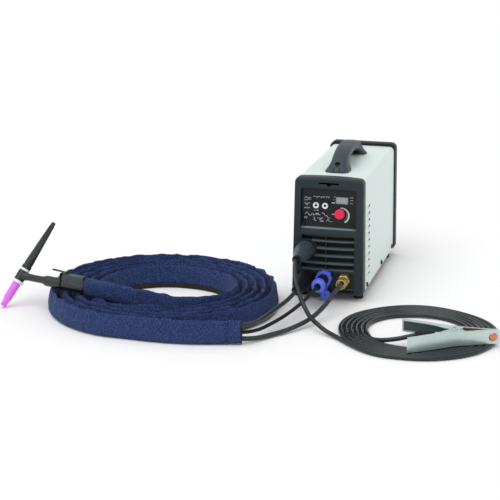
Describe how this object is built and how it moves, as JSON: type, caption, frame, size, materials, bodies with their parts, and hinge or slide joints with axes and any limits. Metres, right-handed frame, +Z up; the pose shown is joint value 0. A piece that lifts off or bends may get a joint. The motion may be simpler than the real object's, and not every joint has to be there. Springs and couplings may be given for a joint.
{
  "type": "tig welding machine",
  "caption": "Upright inverter TIG welding machine with carrying handle, torch in a coiled fabric sleeve, and coiled earth lead with spring clamp.",
  "frame": {"origin": "on the floor under the middle of the housing, at the centre of the four foot recesses", "axes": "-Y out of the front face, +X to the right of the machine as seen from the front, +Z up"},
  "size_m": [0.9058, 0.6775, 0.2675],
  "materials": {
    "tray_steel": "satin black powder coat",
    "cover_white": "fine satin white powder coat",
    "bezel_slate": "fine grained moulded slate grey",
    "handle_slate": "fine grained moulded slate grey",
    "rear_black": "moulded black",
    "panel_black": "satin printed membrane",
    "display_grey": "glossy grey window",
    "board_green": "solder mask green",
    "plated_steel": "bright zinc plate",
    "knob_red": "satin red",
    "button_white": "satin white",
    "screw_black": "black oxide",
    "foot_rubber": "matt black",
    "socket_black": "satin black",
    "connector_blue": "satin blue",
    "brass": "machined, lightly dulled",
    "fan_black": "moulded black",
    "guard_steel": "black wire",
    "rocker_red": "glossy red",
    "tube_blue": "satin hose",
    "sink_aluminium": "extruded, plain",
    "capacitor_black": "shrink sleeve",
    "ferrite": "sintered ferrite",
    "winding": "enamelled copper wire",
    "copper": "bare copper",
    "boot_rubber": "ribbed dark rubber",
    "plug_black": "moulded black",
    "cable_rubber": "smooth satin rubber",
    "denim": "speckled blue cotton twill",
    "torch_black": "moulded phenolic",
    "gasket_white": "white fluoropolymer",
    "nozzle_pink": "unglazed alumina, pink",
    "electrode": "ground tungsten",
    "trigger_grey": "moulded dark grey",
    "clamp_plated": "bright zinc plated sheet"
  },
  "bodies": {
    "machine": {"base_tray": "tray_steel", "case_cover": "cover_white", "front_bezel": "bezel_slate", "front_grille": "bezel_slate", "rear_bezel": "rear_black", "rear_panel": "rear_black", "control_panel": "panel_black", "display_window": "display_grey", "control_board": "board_green", "encoder_body": "plated_steel", "handle": "handle_slate", "screws": "screw_black", "feet": "foot_rubber", "weld_sockets": "socket_black", "switch_socket": "connector_blue", "gas_outlet": "brass", "fan_frame": "fan_black", "fan_guard": "guard_steel", "power_switch": "socket_black", "mains_gland": "socket_black", "gas_inlet": "brass", "gas_valve": "brass", "gas_tube": "tube_blue", "main_board": "board_green", "heat_sinks": "sink_aluminium", "capacitors": "capacitor_black", "main_transformer": "ferrite", "output_choke": "winding", "arc_coil": "winding", "bus_bars": "copper", "plug_pins": "brass", "torch_boot": "boot_rubber", "earth_boot": "boot_rubber", "switch_plug": "plug_black", "torch_lead_tubes": "cable_rubber", "sleeve_ends": "denim", "sleeve_coil": "denim", "torch_handle": "torch_black", "torch_head": "torch_black", "torch_gaskets": "gasket_white", "ceramic_nozzle": "nozzle_pink", "collet": "copper", "tungsten": "electrode", "trigger_housing": "trigger_grey", "earth_lead_tubes": "cable_rubber", "earth_coil": "cable_rubber", "clamp_fixed_arm": "clamp_plated", "clamp_pin": "plated_steel", "clamp_spring": "plated_steel"},
    "knob": {"current_knob": "knob_red"},
    "mode_key": {"mode_button": "button_white"},
    "select_key": {"select_button": "button_white"},
    "fan": {"fan_rotor": "fan_black"},
    "rocker": {"power_rocker": "rocker_red"},
    "cap": {"dust_cap": "connector_blue"},
    "coupling_ring": {"switch_ring": "connector_blue"},
    "hose_nut": {"gas_nut": "brass"},
    "torch_cap": {"back_cap": "torch_black"},
    "lever": {"trigger_lever": "torch_black"},
    "clamp_arm": {"clamp_moving_arm": "clamp_plated"}
  },
  "joints": [
    {"name": "knob_turn", "type": "hinge", "parent": "machine", "child": "knob", "pos_m": [0.022, -0.175, 0.168], "axis": [0, 1, 0], "continuous": true},
    {"name": "mode_press", "type": "slide", "parent": "machine", "child": "mode_key", "axis": [0, 1, 0], "range_m": [0, 0.0008], "stiffness_N_per_m": 600, "springref_m": -0.0008},
    {"name": "select_press", "type": "slide", "parent": "machine", "child": "select_key", "axis": [0, 1, 0], "range_m": [0, 0.0008], "stiffness_N_per_m": 600, "springref_m": -0.0008},
    {"name": "fan_spin", "type": "hinge", "parent": "machine", "child": "fan", "pos_m": [0, 0.152, 0.086], "axis": [0, 1, 0], "continuous": true},
    {"name": "mains_rock", "type": "hinge", "parent": "machine", "child": "rocker", "pos_m": [-0.03, 0.1605, 0.18], "axis": [1, 0, 0], "range_deg": [0, 22]},
    {"name": "cap_swing", "type": "hinge", "parent": "machine", "child": "cap", "pos_m": [-0.0015, -0.1792, 0.0274], "axis": [1, 0, 0], "range_deg": [-30, 0]},
    {"name": "ring_turn", "type": "hinge", "parent": "machine", "child": "coupling_ring", "pos_m": [-0.0045, -0.183, 0.045], "axis": [0, 1, 0], "continuous": true},
    {"name": "nut_turn", "type": "hinge", "parent": "machine", "child": "hose_nut", "pos_m": [0.033, -0.19, 0.044], "axis": [0, 1, 0], "continuous": true},
    {"name": "back_cap_turn", "type": "hinge", "parent": "machine", "child": "torch_cap", "pos_m": [-0.54, -0.341, 0.0536], "axis": [0.3784, 0.5113, 0.7716], "continuous": true},
    {"name": "trigger_press", "type": "hinge", "parent": "machine", "child": "lever", "pos_m": [-0.43837, -0.37111, 0.0762], "axis": [0.284, 0.9588, 0], "range_deg": [-3, 0], "stiffness_Nm_per_rad": 0.6, "springref_deg": 2.86},
    {"name": "clamp_open", "type": "hinge", "parent": "machine", "child": "clamp_arm", "pos_m": [0.262, -0.371, 0.0213], "axis": [0, 0, 1], "range_deg": [0, 22], "stiffness_Nm_per_rad": 3, "springref_deg": -28.65}
  ]
}
